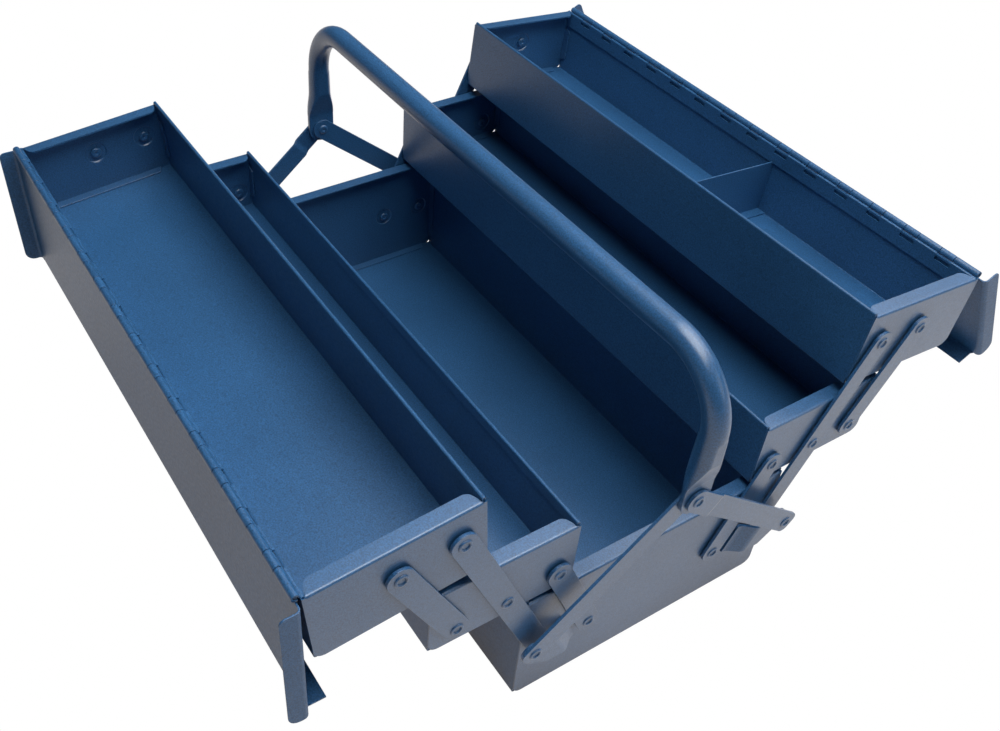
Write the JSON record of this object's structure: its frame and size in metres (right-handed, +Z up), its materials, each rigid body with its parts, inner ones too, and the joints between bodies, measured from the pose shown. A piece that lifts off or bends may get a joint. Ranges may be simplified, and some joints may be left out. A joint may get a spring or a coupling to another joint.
{
  "type": "cantilever tool box",
  "caption": "Sheet-metal tool box whose lidded top trays and middle trays swing outward on lever pairs from a deep base, with a tubular lifting handle; shown open.",
  "frame": {"origin": "middle of the underside of the base tray, on the floor", "axes": "+X along the box towards the end shown nearest, +Y towards the right-hand trays, +Z up"},
  "size_m": [0.4742, 0.544, 0.2457],
  "materials": {
    "blue_paint": "satin",
    "wire_steel": "satin"
  },
  "bodies": {
    "base": {"base_pan": "blue_paint", "base_end_near": "blue_paint", "base_end_far": "blue_paint", "base_rivets": "blue_paint", "base_washers": "blue_paint"},
    "right_long_levers": {"right_long_lever_near": "blue_paint", "right_long_lever_far": "blue_paint", "right_arm_rivets": "blue_paint", "right_arm_spacer": "blue_paint"},
    "right_lower_levers": {"right_lower_lever_near": "blue_paint", "right_lower_lever_far": "blue_paint"},
    "right_mid_tray": {"right_mid_pan": "blue_paint", "right_mid_end_near": "blue_paint", "right_mid_end_far": "blue_paint", "right_mid_rivets": "blue_paint", "right_mid_washers": "blue_paint"},
    "right_upper_levers": {"right_upper_lever_near": "blue_paint", "right_upper_lever_far": "blue_paint"},
    "right_top_tray": {"right_top_pan": "blue_paint", "right_top_end_near": "blue_paint", "right_top_end_far": "blue_paint", "right_top_rivets": "blue_paint", "right_top_washers": "blue_paint", "right_hinge_wire": "wire_steel", "right_top_divider": "blue_paint"},
    "right_lid": {"right_lid": "blue_paint"},
    "right_arms": {"right_arm_near": "blue_paint", "right_arm_far": "blue_paint", "handle_rivets": "blue_paint"},
    "left_long_levers": {"left_long_lever_near": "blue_paint", "left_long_lever_far": "blue_paint", "left_arm_rivets": "blue_paint", "left_arm_spacer": "blue_paint"},
    "left_lower_levers": {"left_lower_lever_near": "blue_paint", "left_lower_lever_far": "blue_paint"},
    "left_mid_tray": {"left_mid_pan": "blue_paint", "left_mid_end_near": "blue_paint", "left_mid_end_far": "blue_paint", "left_mid_rivets": "blue_paint", "left_mid_washers": "blue_paint"},
    "left_upper_levers": {"left_upper_lever_near": "blue_paint", "left_upper_lever_far": "blue_paint"},
    "left_top_tray": {"left_top_pan": "blue_paint", "left_top_end_near": "blue_paint", "left_top_end_far": "blue_paint", "left_top_rivets": "blue_paint", "left_top_washers": "blue_paint", "left_hinge_wire": "wire_steel"},
    "left_lid": {"left_lid": "blue_paint"},
    "left_arms": {"left_arm_near": "blue_paint", "left_arm_far": "blue_paint"},
    "handle": {"handle_tube": "blue_paint"}
  },
  "joints": [
    {"name": "tray_swing", "type": "hinge", "parent": "base", "child": "right_long_levers", "pos_m": [0, 0.0875, 0.046], "axis": [1, 0, 0], "range_deg": [0, 52.16]},
    {"name": "right_lower_swing", "type": "hinge", "parent": "base", "child": "right_lower_levers", "pos_m": [0, 0.0515, 0.046], "axis": [1, 0, 0], "range_deg": [0, 52.17]},
    {"name": "right_mid_level", "type": "hinge", "parent": "right_long_levers", "child": "right_mid_tray", "pos_m": [0, 0.11876, 0.11465], "axis": [1, 0, 0], "range_deg": [-52.17, 0]},
    {"name": "right_upper_swing", "type": "hinge", "parent": "right_mid_tray", "child": "right_upper_levers", "pos_m": [0, 0.15197, 0.11465], "axis": [1, 0, 0], "range_deg": [0, 53.12]},
    {"name": "right_top_level", "type": "hinge", "parent": "right_long_levers", "child": "right_top_tray", "pos_m": [0, 0.15128, 0.18608], "axis": [1, 0, 0], "range_deg": [-47.17, 0]},
    {"name": "right_arm_turn", "type": "hinge", "parent": "right_long_levers", "child": "right_arms", "pos_m": [0, 0.1, 0.061], "axis": [1, 0, 0], "range_deg": [-62.65, 0]},
    {"name": "right_lid_hinge", "type": "hinge", "parent": "right_top_tray", "child": "right_lid", "pos_m": [0, 0.24043, 0.20117], "axis": [1, 0, 0], "range_deg": [0, 238]},
    {"name": "left_long_swing", "type": "hinge", "parent": "base", "child": "left_long_levers", "pos_m": [0, -0.0875, 0.046], "axis": [-1, 0, 0], "range_deg": [0, 52.17]},
    {"name": "left_lower_swing", "type": "hinge", "parent": "base", "child": "left_lower_levers", "pos_m": [0, -0.0515, 0.046], "axis": [-1, 0, 0], "range_deg": [0, 52.17]},
    {"name": "left_mid_level", "type": "hinge", "parent": "left_long_levers", "child": "left_mid_tray", "pos_m": [0, -0.11876, 0.11465], "axis": [-1, 0, 0], "range_deg": [-52.17, 0]},
    {"name": "left_upper_swing", "type": "hinge", "parent": "left_mid_tray", "child": "left_upper_levers", "pos_m": [0, -0.15197, 0.11465], "axis": [-1, 0, 0], "range_deg": [0, 53.12]},
    {"name": "left_top_level", "type": "hinge", "parent": "left_long_levers", "child": "left_top_tray", "pos_m": [0, -0.15128, 0.18608], "axis": [-1, 0, 0], "range_deg": [-47.17, 0]},
    {"name": "left_arm_turn", "type": "hinge", "parent": "left_long_levers", "child": "left_arms", "pos_m": [0, -0.1, 0.061], "axis": [-1, 0, 0], "range_deg": [-62.65, 0]},
    {"name": "left_lid_hinge", "type": "hinge", "parent": "left_top_tray", "child": "left_lid", "pos_m": [0, -0.24043, 0.20117], "axis": [-1, 0, 0], "range_deg": [0, 264.95]},
    {"name": "handle_tilt", "type": "hinge", "parent": "right_arms", "child": "handle", "pos_m": [0, 0, 0.1435], "axis": [1, 0, 0], "range_deg": [-40, 40]}
  ],
  "couplings": [
    {"joint": "right_lower_swing", "follows": "tray_swing", "ratio": 1},
    {"joint": "right_mid_level", "follows": "tray_swing", "ratio": -1},
    {"joint": "right_upper_swing", "follows": "tray_swing", "ratio": 1.0182},
    {"joint": "right_top_level", "follows": "tray_swing", "ratio": -0.90414},
    {"joint": "right_arm_turn", "follows": "tray_swing", "ratio": -1.201},
    {"joint": "left_long_swing", "follows": "tray_swing", "ratio": 1},
    {"joint": "left_lower_swing", "follows": "tray_swing", "ratio": 1},
    {"joint": "left_mid_level", "follows": "tray_swing", "ratio": -1},
    {"joint": "left_upper_swing", "follows": "tray_swing", "ratio": 1.0182},
    {"joint": "left_top_level", "follows": "tray_swing", "ratio": -0.90414},
    {"joint": "left_arm_turn", "follows": "tray_swing", "ratio": -1.201}
  ]
}
